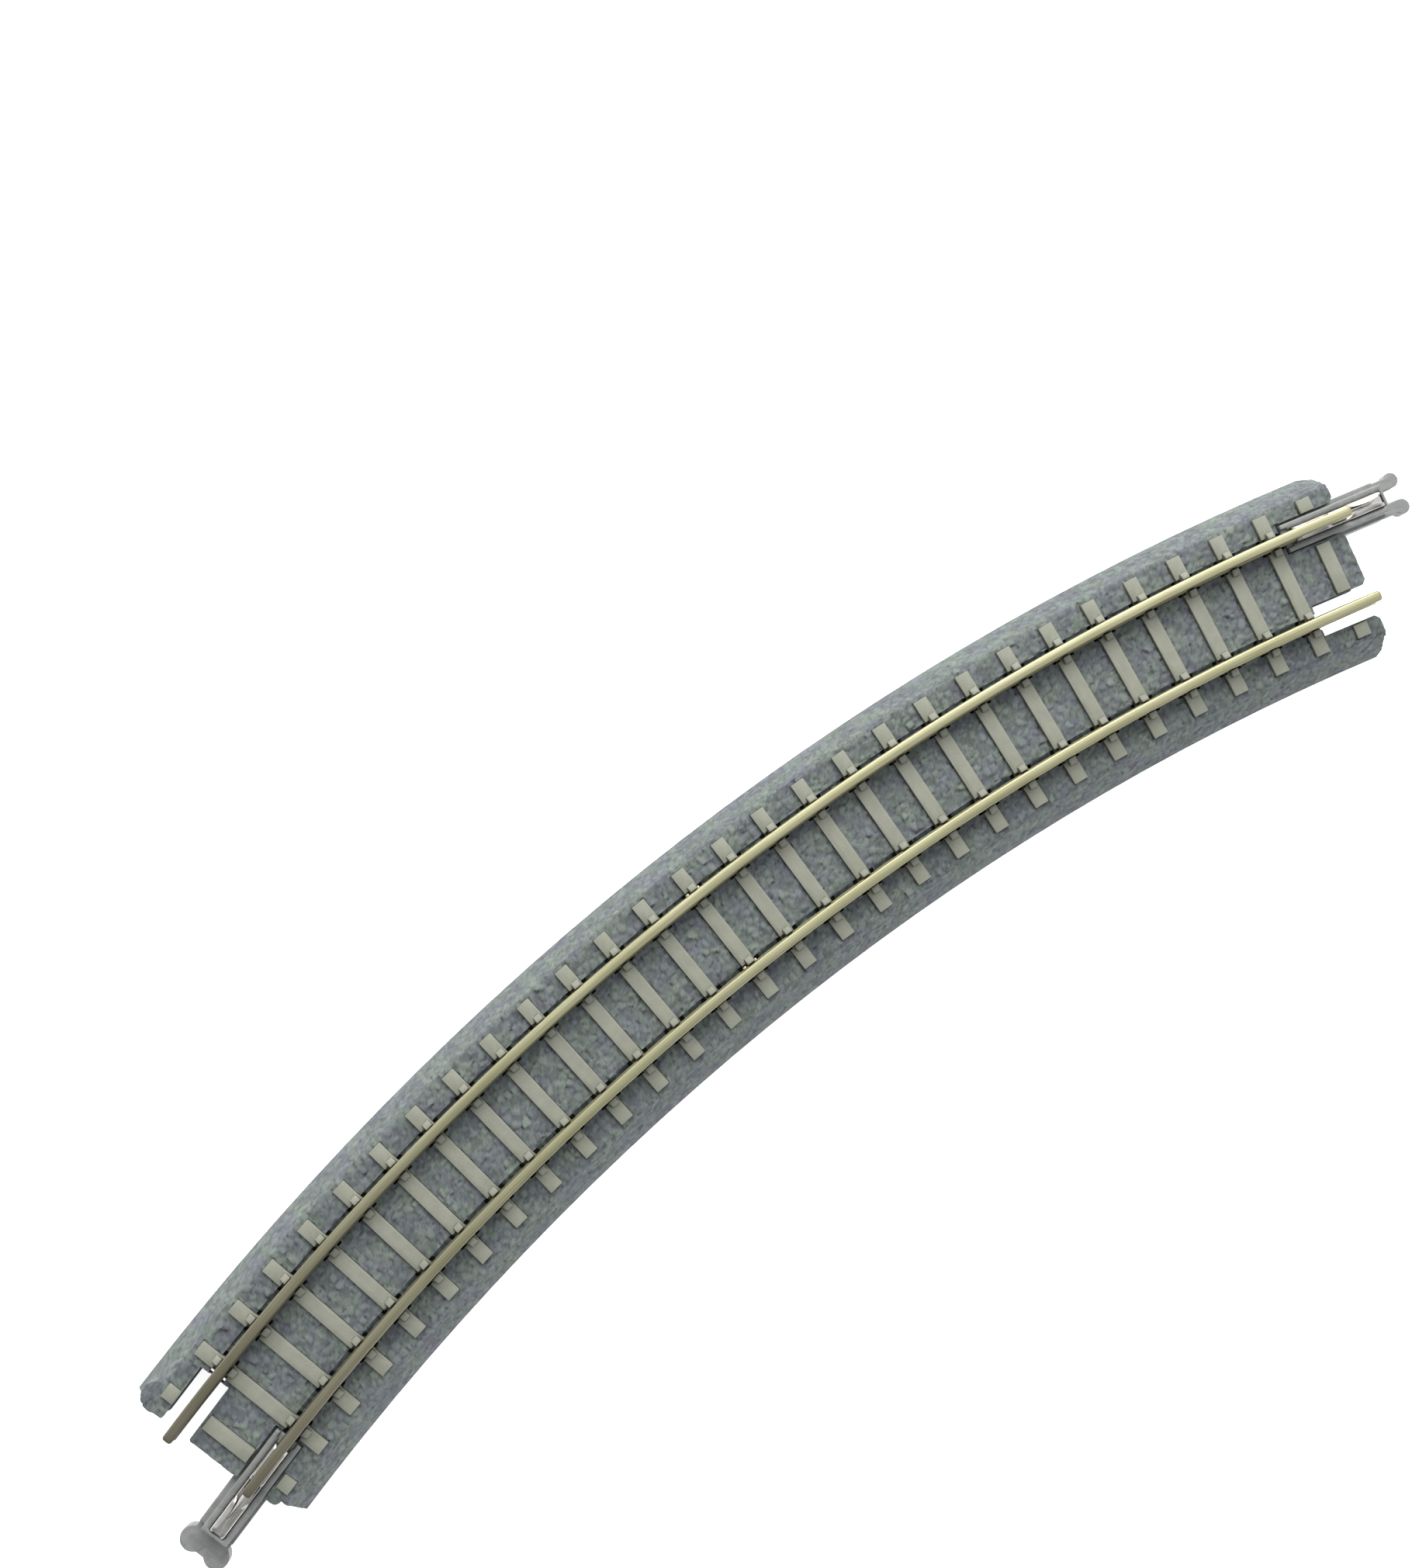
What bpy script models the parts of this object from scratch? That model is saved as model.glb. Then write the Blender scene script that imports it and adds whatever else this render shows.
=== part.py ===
"""Curved model railway track section: roadbed, sleepers, two rails and two slide-on joiners.

Metres, +Z up. The origin is under the middle of the track's centreline, at the base.
+X follows the track's tangent there, +Y points away from the centre of the curve.
"""
import math

import bmesh
import bpy
from mathutils import Vector

MM = 0.001

# The curve.
RADIUS = 220.0
HALF_ARC = math.radians(15.0)
SLEEPER_COUNT = 30
SLEEPER_PITCH = 2 * HALF_ARC / SLEEPER_COUNT

# Roadbed.
BASE_HALF = 8.0
TOP_HALF = 6.4
LIP_HEIGHT = 0.5
BALLAST_TOP = 3.5
PLATE_UNDER = 2.4
WALL = 1.0
RIB = 0.8
BOSS_RADIUS = 2.0
END_BLOCK = 8.0
CELLS_ALONG = 10
SWEEP_STEPS = 30

# Slots in the roadbed's ends. Below the top they widen for a joiner's wings, and lower down for
# its lobes. The mouths' chamfers are given for each side.
SLOT_INNER = 1.25
SLOT_OUTER = 1.4
SLOT_DEPTH = 4.8
WING_ROOM_HALF = 1.75
WING_ROOM_DEPTH = 4.95
WING_ROOM_HIGH = 2.95
LOBE_ROOM_HALF = 2.3
LOBE_ROOM_DEPTH = 7.2
LOBE_ROOM_HIGH = 2.35
ROOM_LOW = 0.8
MOUTH_CHAMFER = {1: 0.35, -1: 0.12}
CORNER_CHAMFER = 0.35
LONG_CHAMFER = (0.85, 0.5)
END_LOBE_RADIUS = 1.17
END_LOBE_AT = (-1.0, 6.35)
END_STEP = (0.62, 0.38)
SMALL_LOBE_RADIUS = 0.55

# How far the end blocks on the +X side stand out past the end, by their offset.
OUTER_REACH = 0.5
MIDDLE_REACH = 0.2

# Sleepers.
SLEEPER_LENGTH = 12.2
SLEEPER_WIDTH = 1.18
SLEEPER_LOW = 3.05
SLEEPER_TOP = 3.9
POCKET_GAP = 0.03
END_MIDDLE_HALF = 2.12
END_OUTER_FROM = 5.0

# Clips that hold the rail's foot.
CLIP_WIDTH = 0.66
CLIP_LENGTH = 0.7
CLIP_GAP = 0.03
CLIP_INNER_TOP = 4.42
CLIP_OUTER_TOP = 4.12

# Rails.
RAIL_OFFSET = 3.6
RAIL_LOW = 3.92
RAIL_HEIGHT = 1.56
FOOT_HALF = 0.46
FOOT_EDGE = 0.2
FOOT_RISE = 0.32
WEB_HALF = 0.18
HEAD_HALF = 0.36
HEAD_DEPTH = 0.5
HEAD_BEVEL = 0.1
RAIL_STEPS = 40
OUTER_RAIL_PAST = (0.6, 0.75)
INNER_RAIL_PAST = (0.2, 0.1)
TIP_LENGTH = 0.12
TIP_SCALE = 0.84
LUG_SLEEPER = 15
LUG_AWAY = 0.52
LUG_SIZE = (0.3, 0.3, 0.26)

# Joiner housings and their metal clips. Lengths run outwards from the roadbed's end.
WING_HALF = 1.57
WING_SHIFT = 0.1
WING_INNER = -4.55
WING_LOW = 0.9
WING_HIGH = 2.85
BODY_HALF = 1.17
BODY_LOW = 1.1
BODY_TOP = 4.0
BODY_INNER = -4.7
BODY_OUTER = 4.4
RECESS_HALF = 0.8
RECESS_FLOOR = 3.68
RECESS_OUTER = 4.15
LOBE_LOW = 0.96
LOBE_HIGH = 2.2
FORK_LOBE_RADIUS = 0.64
FORK_LOBE_AT = (6.2, 1.18)
FORK_GAP_HALF = 0.52
BONE_LOBE_RADIUS = 1.0
BONE_LOBE_AT = (5.9, 1.14)
BONE_WEB_OUTER = 6.55
CHANNEL_INNER = -3.9
CHANNEL_OUTER = 4.05
CHANNEL_WAIST = (-0.7, 0.95)
CHANNEL_WAIST_TOP = 4.12
CHANNEL_HALF = 0.75
CHANNEL_SHEET = 0.14
CHANNEL_LOW = 3.72
CHANNEL_HIGH = 4.48
CHANNEL_MOUTH = 0.3

COLLECTION = "track_section"
CUTTERS = "track_section_cutters"


def clear_scene():
    for obj in list(bpy.data.objects):
        bpy.data.objects.remove(obj, do_unlink=True)


def new_collection(name):
    collection = bpy.data.collections.new(name)
    bpy.context.scene.collection.children.link(collection)
    return collection


def material(name, color, roughness, metallic):
    made = bpy.data.materials.new(name)
    made.use_nodes = True
    shader = made.node_tree.nodes["Principled BSDF"]
    shader.inputs["Base Color"].default_value = (*color, 1.0)
    shader.inputs["Roughness"].default_value = roughness
    shader.inputs["Metallic"].default_value = metallic
    made.diffuse_color = (*color, 1.0)
    return made


def on_curve(offset, angle, height):
    """A point at this offset outwards from the centreline, in metres."""
    radius = RADIUS + offset
    return Vector((radius * math.sin(angle), radius * math.cos(angle) - RADIUS, height)) * MM


def past_end(side, along, offset, height):
    """A point this far straight out of the end on the +X side (side 1) or the -X side (side -1)."""
    angle = side * HALF_ARC
    tangent = Vector((side * math.cos(angle), -side * math.sin(angle), 0.0))
    return on_curve(offset, angle, height) + tangent * along * MM


def object_from(name, points, faces, home, look=None):
    mesh = bpy.data.meshes.new(name)
    mesh.from_pydata([tuple(point) for point in points], [], faces)
    shape = bmesh.new()
    shape.from_mesh(mesh)
    bmesh.ops.recalc_face_normals(shape, faces=shape.faces)
    shape.to_mesh(mesh)
    shape.free()
    made = bpy.data.objects.new(name, mesh)
    home.objects.link(made)
    if look:
        mesh.materials.append(look)
    else:
        made.hide_render = True
        made.display_type = "WIRE"
    return made


def loft(rings):
    """Points and faces of a closed body through rings of equal length, with flat caps."""
    count = len(rings[0])
    points = [point for ring in rings for point in ring]
    faces = [list(range(count))]
    for step in range(len(rings) - 1):
        first = step * count
        for side in range(count):
            after = (side + 1) % count
            faces.append([first + side, first + after, first + count + after, first + count + side])
    faces.append(list(range(len(points) - count, len(points))))
    return points, faces


def joined(bodies):
    """Several closed bodies as one list of points and faces."""
    points = []
    faces = []
    for body_points, body_faces in bodies:
        start = len(points)
        points += body_points
        faces += [[start + index for index in face] for face in body_faces]
    return points, faces


def swept(profile, start, stop, steps):
    """A profile of (offset, height) carried along the curve."""
    rings = []
    for step in range(steps + 1):
        angle = start + (stop - start) * step / steps
        rings.append([on_curve(offset, angle, height) for offset, height in profile])
    return loft(rings)


def end_prism(side, outline, low, high):
    """An outline of (along, offset) past one end, carried up from low to high."""
    rings = []
    for height in (low, high):
        rings.append([past_end(side, along, offset, height) for along, offset in outline])
    return loft(rings)


def end_box(side, along, offset, height):
    (back, front), (inner, outer) = along, offset
    outline = [(back, inner), (front, inner), (front, outer), (back, outer)]
    return end_prism(side, outline, *height)


def sleeper_box(angle, offset, width, height):
    """A box square to the track at this angle."""
    tangent = Vector((math.cos(angle), -math.sin(angle), 0.0)) * width / 2 * MM
    rings = []
    for level in height:
        inner = on_curve(offset[0], angle, level)
        outer = on_curve(offset[1], angle, level)
        rings.append([inner - tangent, inner + tangent, outer + tangent, outer - tangent])
    return loft(rings)


def clip_wedge(angle, rail, direction):
    """A clip beside the rail's foot, highest next to the rail."""
    near = rail + direction * (FOOT_HALF + CLIP_GAP)
    far = near + direction * CLIP_LENGTH
    profile = [
        (near, SLEEPER_TOP - 0.2),
        (far, SLEEPER_TOP - 0.2),
        (far, CLIP_OUTER_TOP),
        (near + direction * 0.25, CLIP_INNER_TOP),
        (near, CLIP_INNER_TOP),
    ]
    tangent = Vector((math.cos(angle), -math.sin(angle), 0.0)) * CLIP_WIDTH / 2 * MM
    rings = []
    for sign in (-1, 1):
        rings.append([on_curve(offset, angle, height) + sign * tangent for offset, height in profile])
    return loft(rings)


def boolean(target, other, operation):
    modifier = target.modifiers.new(other.name, "BOOLEAN")
    modifier.solver = "EXACT"
    modifier.operation = operation
    modifier.object = other


def circle(center, radius, steps, start, stop):
    found = []
    for step in range(steps + 1):
        angle = math.radians(start + (stop - start) * step / steps)
        found.append((center[0] + radius * math.cos(angle), center[1] + radius * math.sin(angle)))
    return found


def sleeper_angle(number):
    return -HALF_ARC + (number - 0.5) * SLEEPER_PITCH


def reach_beside(side, rail):
    """How far the blocks on the slot's inner and outer sides stand out past the end."""
    if side < 0:
        return 0.0, 0.0
    return (MIDDLE_REACH, OUTER_REACH) if rail > 0 else (0.0, MIDDLE_REACH)


def build_roadbed(home, cutters, look):
    half_profile = [(BASE_HALF, 0.0), (BASE_HALF, LIP_HEIGHT), (TOP_HALF, BALLAST_TOP)]
    profile = half_profile + [(-offset, height) for offset, height in reversed(half_profile)]
    roadbed = object_from("roadbed", *swept(profile, -HALF_ARC, HALF_ARC, SWEEP_STEPS), home, look)

    slope = (BASE_HALF - TOP_HALF) / (BALLAST_TOP - LIP_HEIGHT)
    under_edge = BASE_HALF - WALL - slope * (PLATE_UNDER - LIP_HEIGHT)
    hollow_arc = HALF_ARC - END_BLOCK / RADIUS
    cell_arc = 2 * hollow_arc / CELLS_ALONG
    rib_arc = RIB / RADIUS / 2
    cells = []
    for number in range(CELLS_ALONG):
        start = -hollow_arc + number * cell_arc + rib_arc
        stop = start + cell_arc - 2 * rib_arc
        for sign in (-1, 1):
            cell = [
                (sign * RIB / 2, -1.0),
                (sign * (BASE_HALF - WALL), -1.0),
                (sign * (BASE_HALF - WALL), LIP_HEIGHT),
                (sign * under_edge, PLATE_UNDER),
                (sign * RIB / 2, PLATE_UNDER),
            ]
            cells.append(swept(cell, start, stop, 3))
    for side in (-1, 1):
        cells.append(end_box(side, (-END_BLOCK + 1.2, -1.2), (-1.0, 1.0), (-1.0, PLATE_UNDER)))
    boolean(roadbed, object_from("cut_underside", *joined(cells), cutters), "DIFFERENCE")

    ring = [(BOSS_RADIUS * x, BOSS_RADIUS * y) for x, y in circle((0, 0), 1.0, 23, 0, 345)]
    boss = [[Vector((x, y, height)) * MM for x, y in ring] for height in (0.0, PLATE_UNDER + 0.4)]
    boolean(roadbed, object_from("add_boss", *loft(boss), cutters), "UNION")

    outer = [(4.0, 0.02), (BASE_HALF - 0.02, 0.02), (BASE_HALF - 0.02, LIP_HEIGHT)]
    outer += [(TOP_HALF - 0.02, BALLAST_TOP - 0.02), (4.0, BALLAST_TOP - 0.02)]
    rings = [[past_end(1, along, *point) for point in outer] for along in (-0.6, OUTER_REACH)]
    tall = (0.03, BALLAST_TOP - 0.03)
    middle = end_box(1, (-0.7, MIDDLE_REACH), (-3.0, 3.0), tall)
    reaches = object_from("add_reaches", *joined([loft(rings), middle]), cutters)
    boolean(roadbed, reaches, "UNION")

    corners = []
    far = BASE_HALF + 1.0
    long, deep = LONG_CHAMFER
    back = OUTER_REACH - long
    outline = [(1.5, BASE_HALF - deep), (OUTER_REACH, BASE_HALF - deep), (back, BASE_HALF)]
    corners.append(end_prism(1, outline + [(back, far), (1.5, far)], -1.0, 5.0))
    cut = CORNER_CHAMFER
    outline = [(0.5, cut + 0.5 - BASE_HALF), (-cut - 0.5, -BASE_HALF - 0.5), (-cut, -far)]
    corners.append(end_prism(1, outline + [(0.5, -far)], -1.0, 5.0))
    inner = -RAIL_OFFSET - SLOT_INNER - SMALL_LOBE_RADIUS - 0.05
    outline = [(0.5, inner), (-END_STEP[0], inner), (-END_STEP[1], -far), (0.5, -far)]
    corners.append(end_prism(-1, outline, -1.0, 5.0))
    boolean(roadbed, object_from("cut_corners", *joined(corners), cutters), "DIFFERENCE")

    ring = circle(END_LOBE_AT, END_LOBE_RADIUS, 23, 0, 345)
    end_lobe = end_prism(-1, ring, 0.02, BALLAST_TOP - 0.02)
    ring = circle((-SMALL_LOBE_RADIUS - 0.03, inner - 0.02), SMALL_LOBE_RADIUS, 23, 0, 345)
    small_lobe = end_prism(-1, ring, 0.03, BALLAST_TOP - 0.03)
    boolean(roadbed, object_from("add_lobes", *joined([end_lobe, small_lobe]), cutters), "UNION")

    slots = []
    wing_rooms = []
    lobe_rooms = []
    for side in (-1, 1):
        for rail in (-RAIL_OFFSET, RAIL_OFFSET):
            inner = rail - SLOT_INNER
            outer = rail + SLOT_OUTER
            below, above = reach_beside(side, rail)
            below -= MOUTH_CHAMFER[side]
            above -= MOUTH_CHAMFER[side]
            outline = [(-SLOT_DEPTH, inner), (below, inner), (below + 1.2, inner - 1.2)]
            outline += [(above + 1.2, outer + 1.2), (above, outer), (-SLOT_DEPTH, outer)]
            slots.append(end_prism(side, outline, -1.0, 5.0))
            middle = rail + WING_SHIFT
            wide = (middle - WING_ROOM_HALF, middle + WING_ROOM_HALF)
            wing_rooms.append(end_box(side, (-WING_ROOM_DEPTH, 1.5), wide, (ROOM_LOW, WING_ROOM_HIGH)))
            wide = (middle - LOBE_ROOM_HALF, middle + LOBE_ROOM_HALF)
            tall = (ROOM_LOW + 0.05, LOBE_ROOM_HIGH)
            lobe_rooms.append(end_box(side, (-LOBE_ROOM_DEPTH, 1.6), wide, tall))
    boolean(roadbed, object_from("cut_slots", *joined(slots), cutters), "DIFFERENCE")
    boolean(roadbed, object_from("cut_wing_rooms", *joined(wing_rooms), cutters), "DIFFERENCE")
    boolean(roadbed, object_from("cut_lobe_rooms", *joined(lobe_rooms), cutters), "DIFFERENCE")

    pockets = []
    tall = (SLEEPER_LOW - POCKET_GAP, BALLAST_TOP + 1.0)
    half = SLEEPER_LENGTH / 2 + POCKET_GAP
    width = SLEEPER_WIDTH + 2 * POCKET_GAP
    for number in range(1, SLEEPER_COUNT + 1):
        for span in sleeper_spans(number, POCKET_GAP, half):
            pockets.append(sleeper_box(sleeper_angle(number), span, width, tall))
    boolean(roadbed, object_from("cut_pockets", *joined(pockets), cutters), "DIFFERENCE")

    return roadbed


def sleeper_spans(number, grow, half):
    """The stretches of a sleeper across the track: one, or three beside the slots at the ends."""
    if 1 < number < SLEEPER_COUNT:
        return [(-half, half)]
    middle = END_MIDDLE_HALF + grow
    return [(END_OUTER_FROM - grow, half), (-middle, middle), (-half, -END_OUTER_FROM + grow)]


def build_sleepers(home, cutters, look):
    tall = (SLEEPER_LOW, SLEEPER_TOP)
    block = sleeper_box(0.0, (-SLEEPER_LENGTH / 2, SLEEPER_LENGTH / 2), SLEEPER_WIDTH, tall)
    whole = object_from("sleeper_shape", *block, cutters)
    wedges = []
    for rail in (-RAIL_OFFSET, RAIL_OFFSET):
        for direction in (-1, 1):
            wedges.append(clip_wedge(0.0, rail, direction))
    boolean(whole, object_from("add_clips", *joined(wedges), cutters), "UNION")
    graph = bpy.context.evaluated_depsgraph_get()
    shape = bpy.data.meshes.new_from_object(whole.evaluated_get(graph))
    shape.name = "sleeper_with_clips"
    shape.materials.clear()
    shape.materials.append(look)
    for number in range(2, SLEEPER_COUNT):
        made = bpy.data.objects.new(f"sleeper_{number:02d}", shape)
        angle = sleeper_angle(number)
        made.location = on_curve(0.0, angle, 0.0)
        made.rotation_euler = (0.0, 0.0, -angle)
        home.objects.link(made)
    for number in (1, SLEEPER_COUNT):
        spans = sleeper_spans(number, 0.0, SLEEPER_LENGTH / 2)
        for place, span in zip(("outer", "middle", "inner"), spans):
            block = sleeper_box(sleeper_angle(number), span, SLEEPER_WIDTH, tall)
            object_from(f"sleeper_{number:02d}_{place}", *block, home, look)


def rail_profile(offset):
    low = RAIL_LOW
    top = RAIL_LOW + RAIL_HEIGHT
    half = [
        (FOOT_HALF, low),
        (FOOT_HALF, low + FOOT_EDGE),
        (WEB_HALF, low + FOOT_RISE),
        (WEB_HALF, top - HEAD_DEPTH),
        (HEAD_HALF, top - HEAD_DEPTH + 0.08),
        (HEAD_HALF, top - HEAD_BEVEL),
        (HEAD_HALF - HEAD_BEVEL, top),
    ]
    right = [(offset + across, height) for across, height in half]
    left = [(offset - across, height) for across, height in reversed(half)]
    return right + left


def build_rail(name, offset, past, home, cutters, look):
    profile = rail_profile(offset)
    middle = RAIL_LOW + RAIL_HEIGHT / 2
    small = []
    for across, height in profile:
        small.append((offset + (across - offset) * TIP_SCALE, middle + (height - middle) * TIP_SCALE))
    radius = RADIUS + offset
    first = -HALF_ARC - past[0] / radius
    last = HALF_ARC + past[1] / radius
    tip = TIP_LENGTH / radius
    rings = [[on_curve(across, first, height) for across, height in small]]
    for step in range(RAIL_STEPS + 1):
        angle = first + tip + (last - first - 2 * tip) * step / RAIL_STEPS
        rings.append([on_curve(across, angle, height) for across, height in profile])
    rings.append([on_curve(across, last, height) for across, height in small])
    rail = object_from(name, *loft(rings), home, look)

    long, wide, tall = LUG_SIZE
    lugs = []
    for sign in (-1, 1):
        angle = sleeper_angle(LUG_SLEEPER) + sign * LUG_AWAY / (RADIUS + offset)
        span = (offset + FOOT_HALF - 0.15, offset + FOOT_HALF - 0.15 + wide)
        lugs.append(sleeper_box(angle, span, long, (RAIL_LOW + 0.03, RAIL_LOW + 0.03 + tall)))
    boolean(rail, object_from(f"add_lugs_{name}", *joined(lugs), cutters), "UNION")
    return rail


def build_housing(name, side, rail, lobe_at, lobe_radius, home, cutters, look):
    """A joiner's plastic body: a narrow top over wings, and two lobes at the outer end."""
    middle = rail + WING_SHIFT
    wide = (middle - WING_HALF, middle + WING_HALF)
    wings = end_box(side, (WING_INNER, BODY_OUTER - 0.07), wide, (WING_LOW, WING_HIGH))
    housing = object_from(f"joiner_{name}_housing", *wings, home, look)
    along = (BODY_OUTER - 0.5, lobe_at[0] - 0.13)
    wide = (middle - WING_HALF + 0.05, middle + WING_HALF - 0.05)
    prongs = end_box(side, along, wide, (LOBE_LOW - 0.02, LOBE_HIGH + 0.02))
    wide = (rail - BODY_HALF, rail + BODY_HALF)
    body = end_box(side, (BODY_INNER, BODY_OUTER), wide, (BODY_LOW, BODY_TOP))
    boolean(housing, object_from(f"add_prongs_{name}", *prongs, cutters), "UNION")
    boolean(housing, object_from(f"add_body_{name}", *body, cutters), "UNION")
    for sign in (-1, 1):
        center = (lobe_at[0], middle + sign * lobe_at[1])
        lobe = end_prism(side, circle(center, lobe_radius, 23, 0, 345), LOBE_LOW, LOBE_HIGH)
        boolean(housing, object_from(f"add_lobe_{name}_{sign + 1}", *lobe, cutters), "UNION")
    wide = (rail - RECESS_HALF, rail + RECESS_HALF)
    recess = end_box(side, (BODY_INNER - 0.5, RECESS_OUTER), wide, (RECESS_FLOOR, 6.0))
    boolean(housing, object_from(f"cut_recess_{name}", *recess, cutters), "DIFFERENCE")
    return housing


def build_clip(name, side, rail, home, cutters, look):
    """A joiner's folded metal channel, which grips a rail's foot on each side of its waist."""
    inside = CHANNEL_HALF - CHANNEL_SHEET
    section = [
        (-CHANNEL_HALF, CHANNEL_LOW),
        (CHANNEL_HALF, CHANNEL_LOW),
        (CHANNEL_HALF, CHANNEL_HIGH),
        (CHANNEL_MOUTH, CHANNEL_HIGH),
        (CHANNEL_MOUTH, CHANNEL_HIGH - CHANNEL_SHEET),
        (inside, CHANNEL_HIGH - CHANNEL_SHEET),
        (inside, CHANNEL_LOW + CHANNEL_SHEET),
        (-inside, CHANNEL_LOW + CHANNEL_SHEET),
        (-inside, CHANNEL_HIGH - CHANNEL_SHEET),
        (-CHANNEL_MOUTH, CHANNEL_HIGH - CHANNEL_SHEET),
        (-CHANNEL_MOUTH, CHANNEL_HIGH),
        (-CHANNEL_HALF, CHANNEL_HIGH),
    ]
    rings = []
    for along in (CHANNEL_INNER, CHANNEL_OUTER):
        rings.append([past_end(side, along, rail + across, height) for across, height in section])
    clip = object_from(f"joiner_{name}_clip", *loft(rings), home, look)
    waist = end_box(side, CHANNEL_WAIST, (rail - 1.5, rail + 1.5), (CHANNEL_WAIST_TOP, 6.0))
    boolean(clip, object_from(f"cut_waist_{name}", *waist, cutters), "DIFFERENCE")
    return clip


def main():
    clear_scene()
    home = new_collection(COLLECTION)
    cutters = new_collection(CUTTERS)
    ballast = material("ballast", (0.21, 0.225, 0.235), 0.75, 0.0)
    sleeper = material("sleeper", (0.40, 0.40, 0.33), 0.6, 0.0)
    rail = material("rail", (0.66, 0.60, 0.42), 0.3, 1.0)
    housing = material("housing", (0.30, 0.32, 0.32), 0.45, 0.0)
    spring = material("spring_metal", (0.75, 0.73, 0.70), 0.22, 1.0)

    build_roadbed(home, cutters, ballast)
    build_sleepers(home, cutters, sleeper)
    build_rail("rail_outer", RAIL_OFFSET, OUTER_RAIL_PAST, home, cutters, rail)
    build_rail("rail_inner", -RAIL_OFFSET, INNER_RAIL_PAST, home, cutters, rail)

    lobes = (FORK_LOBE_AT, FORK_LOBE_RADIUS)
    fork = build_housing("right", 1, RAIL_OFFSET, *lobes, home, cutters, housing)
    middle = RAIL_OFFSET + WING_SHIFT
    across = (middle - FORK_GAP_HALF, middle + FORK_GAP_HALF)
    gap = end_box(1, (BODY_OUTER - 0.1, 9.0), across, (0.0, LOBE_HIGH + 0.2))
    boolean(fork, object_from("cut_fork_gap", *gap, cutters), "DIFFERENCE")
    build_clip("right", 1, RAIL_OFFSET, home, cutters, spring)

    lobes = (BONE_LOBE_AT, BONE_LOBE_RADIUS)
    bone = build_housing("left", -1, -RAIL_OFFSET, *lobes, home, cutters, housing)
    middle = -RAIL_OFFSET + WING_SHIFT
    along = (BONE_LOBE_AT[0] - 0.37, BONE_WEB_OUTER)
    web = end_box(-1, along, (middle - 0.87, middle + 0.87), (LOBE_LOW + 0.05, LOBE_HIGH - 0.05))
    boolean(bone, object_from("add_bone_web", *web, cutters), "UNION")
    build_clip("left", -1, -RAIL_OFFSET, home, cutters, spring)
    for obj in home.objects:
        if obj.name.startswith("rail"):
            obj.data.shade_smooth()
            obj.data.set_sharp_from_angle(angle=math.radians(30))


main()
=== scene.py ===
"""Looks for the curved railway track section: ballast, sleepers, rails and the two joiners.

Lengths are in millimetres and turned into metres by MM. The frame is the CAD part's own: the origin
is under the middle of the track, +X follows the track there and +Y points out of the curve.
"""

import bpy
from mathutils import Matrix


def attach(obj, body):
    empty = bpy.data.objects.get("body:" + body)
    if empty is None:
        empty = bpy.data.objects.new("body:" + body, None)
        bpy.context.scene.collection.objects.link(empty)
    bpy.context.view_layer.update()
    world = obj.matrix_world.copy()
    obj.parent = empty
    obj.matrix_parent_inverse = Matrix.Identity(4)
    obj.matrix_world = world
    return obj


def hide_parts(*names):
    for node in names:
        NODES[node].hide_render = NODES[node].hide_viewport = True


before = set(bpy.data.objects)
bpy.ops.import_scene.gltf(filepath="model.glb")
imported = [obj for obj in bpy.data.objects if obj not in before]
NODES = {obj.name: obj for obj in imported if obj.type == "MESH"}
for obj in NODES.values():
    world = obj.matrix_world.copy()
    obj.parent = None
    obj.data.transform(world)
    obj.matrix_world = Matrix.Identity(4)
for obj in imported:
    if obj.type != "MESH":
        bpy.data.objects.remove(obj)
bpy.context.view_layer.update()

import math

import bmesh
import bpy
import numpy as np
from mathutils import Matrix, Vector

MM = 0.001
RNG_SEED = 20260

# The track's main sizes, as in the CAD part.
RADIUS = 220.0
HALF_ARC = math.radians(15.0)
SLEEPER_COUNT = 30
SLEEPER_PITCH = 2 * HALF_ARC / SLEEPER_COUNT
RAIL_OFFSET = 3.6
TOP_HALF = 6.4
BALLAST_TOP = 3.5
SLOPE_RUN = 1.6
SLOPE_DROP = 3.0
SLEEPER_LENGTH = 12.2
SLEEPER_WIDTH = 1.18
SLEEPER_LOW = 3.05
SLEEPER_TOP = 3.9
END_MIDDLE_HALF = 2.12
END_OUTER_FROM = 5.0
FOOT_HALF = 0.46
RAIL_LOW = 3.92

SCENE = bpy.context.scene


# ---------------------------------------------------------------- shapes


def on_curve(offset, angle, height):
    """A point at this offset outwards from the centreline, in metres."""
    radius = RADIUS + offset
    return Vector((radius * math.sin(angle), radius * math.cos(angle) - RADIUS, height)) * MM


def past_end(side, along, offset, height):
    """A point this far straight out of the end on the +X side (1) or the -X side (-1)."""
    angle = side * HALF_ARC
    tangent = Vector((side * math.cos(angle), -side * math.sin(angle), 0.0))
    return on_curve(offset, angle, height) + tangent * along * MM


def sleeper_angle(number):
    return -HALF_ARC + (number - 0.5) * SLEEPER_PITCH


def object_from(name, points, faces, recalc=True):
    mesh = bpy.data.meshes.new(name)
    mesh.from_pydata([tuple(point) for point in points], [], faces)
    if recalc:
        shape = bmesh.new()
        shape.from_mesh(mesh)
        bmesh.ops.recalc_face_normals(shape, faces=shape.faces)
        shape.to_mesh(mesh)
        shape.free()
    made = bpy.data.objects.new(name, mesh)
    SCENE.collection.objects.link(made)
    return made


def loft(rings):
    """Points and faces of a closed body through rings of equal length, with flat caps."""
    count = len(rings[0])
    points = [point for ring in rings for point in ring]
    faces = [list(range(count))]
    for step in range(len(rings) - 1):
        first = step * count
        for side in range(count):
            after = (side + 1) % count
            faces.append([first + side, first + after, first + count + after, first + count + side])
    faces.append(list(range(len(points) - count, len(points))))
    return points, faces


def boxes(name, corners):
    """One object of several closed boxes, each given by its eight corners as two rings of four."""
    points = []
    faces = []
    for rings in corners:
        start = len(points)
        box_points, box_faces = loft(rings)
        points += box_points
        faces += [[start + index for index in face] for face in box_faces]
    return object_from(name, points, faces)


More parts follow.
